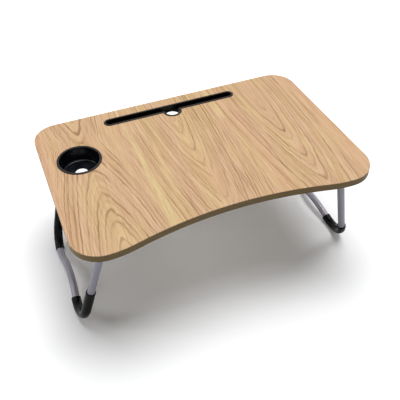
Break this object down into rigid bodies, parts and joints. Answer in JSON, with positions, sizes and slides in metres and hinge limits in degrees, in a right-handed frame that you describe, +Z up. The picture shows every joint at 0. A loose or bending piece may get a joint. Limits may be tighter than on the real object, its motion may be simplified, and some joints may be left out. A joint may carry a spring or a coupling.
{
  "type": "folding laptop table",
  "caption": "Low folding laptop table for bed or sofa: wood-look board with a hollow front edge, cup holder and tablet slot, on bent-tube legs that fold under it.",
  "frame": {"origin": "on the floor under the middle of the board, with the legs open", "axes": "+X to the right along the board's long side, as the user sits at it; +Y to the back, where the tablet slot is; +Z up"},
  "size_m": [0.6318, 0.4, 0.2708],
  "materials": {
    "board_core": "matte fibreboard",
    "oak_look_sheet": "satin printed oak grain, front to back",
    "backing_sheet": "plain matte backing",
    "edge_band": "olive-brown satin band",
    "black_plastic": "moulded gloss",
    "sleeve_black": "smooth gloss sleeve",
    "silver_paint": "satin silver-grey powder coat",
    "bracket_steel": "zinc-plated sheet",
    "fastener_steel": "zinc-plated",
    "washer_nylon": "natural nylon",
    "plug_black": "moulded matte"
  },
  "bodies": {
    "tabletop": {"tabletop_core": "board_core", "top_sheet": "oak_look_sheet", "underside_sheet": "backing_sheet", "edge_band": "edge_band", "cup_holder": "black_plastic", "tablet_slot_trim": "black_plastic", "left_front_hinge_bracket": "bracket_steel", "left_front_hinge_bolt": "fastener_steel", "left_front_lock_nut": "fastener_steel", "left_rear_hinge_bracket": "bracket_steel", "left_rear_hinge_bolt": "fastener_steel", "left_rear_lock_nut": "fastener_steel", "left_hinge_washers": "washer_nylon", "left_bracket_screws": "fastener_steel", "right_front_hinge_bracket": "bracket_steel", "right_front_hinge_bolt": "fastener_steel", "right_front_lock_nut": "fastener_steel", "right_rear_hinge_bracket": "bracket_steel", "right_rear_hinge_bolt": "fastener_steel", "right_rear_lock_nut": "fastener_steel", "right_hinge_washers": "washer_nylon", "right_bracket_screws": "fastener_steel"},
    "left_leg": {"left_leg_tube": "silver_paint", "left_front_foot_sleeve": "sleeve_black", "left_front_tube_plug": "plug_black", "left_rear_foot_sleeve": "sleeve_black", "left_rear_tube_plug": "plug_black"},
    "right_leg": {"right_leg_tube": "silver_paint", "right_front_foot_sleeve": "sleeve_black", "right_front_tube_plug": "plug_black", "right_rear_foot_sleeve": "sleeve_black", "right_rear_tube_plug": "plug_black"}
  },
  "joints": [
    {"name": "left_leg_fold", "type": "hinge", "parent": "tabletop", "child": "left_leg", "pos_m": [-0.2455, 0, 0.233], "axis": [0, -1, 0], "range_deg": [0, 105]},
    {"name": "right_leg_fold", "type": "hinge", "parent": "tabletop", "child": "right_leg", "pos_m": [0.2455, 0, 0.233], "axis": [0, 1, 0], "range_deg": [0, 105]}
  ]
}
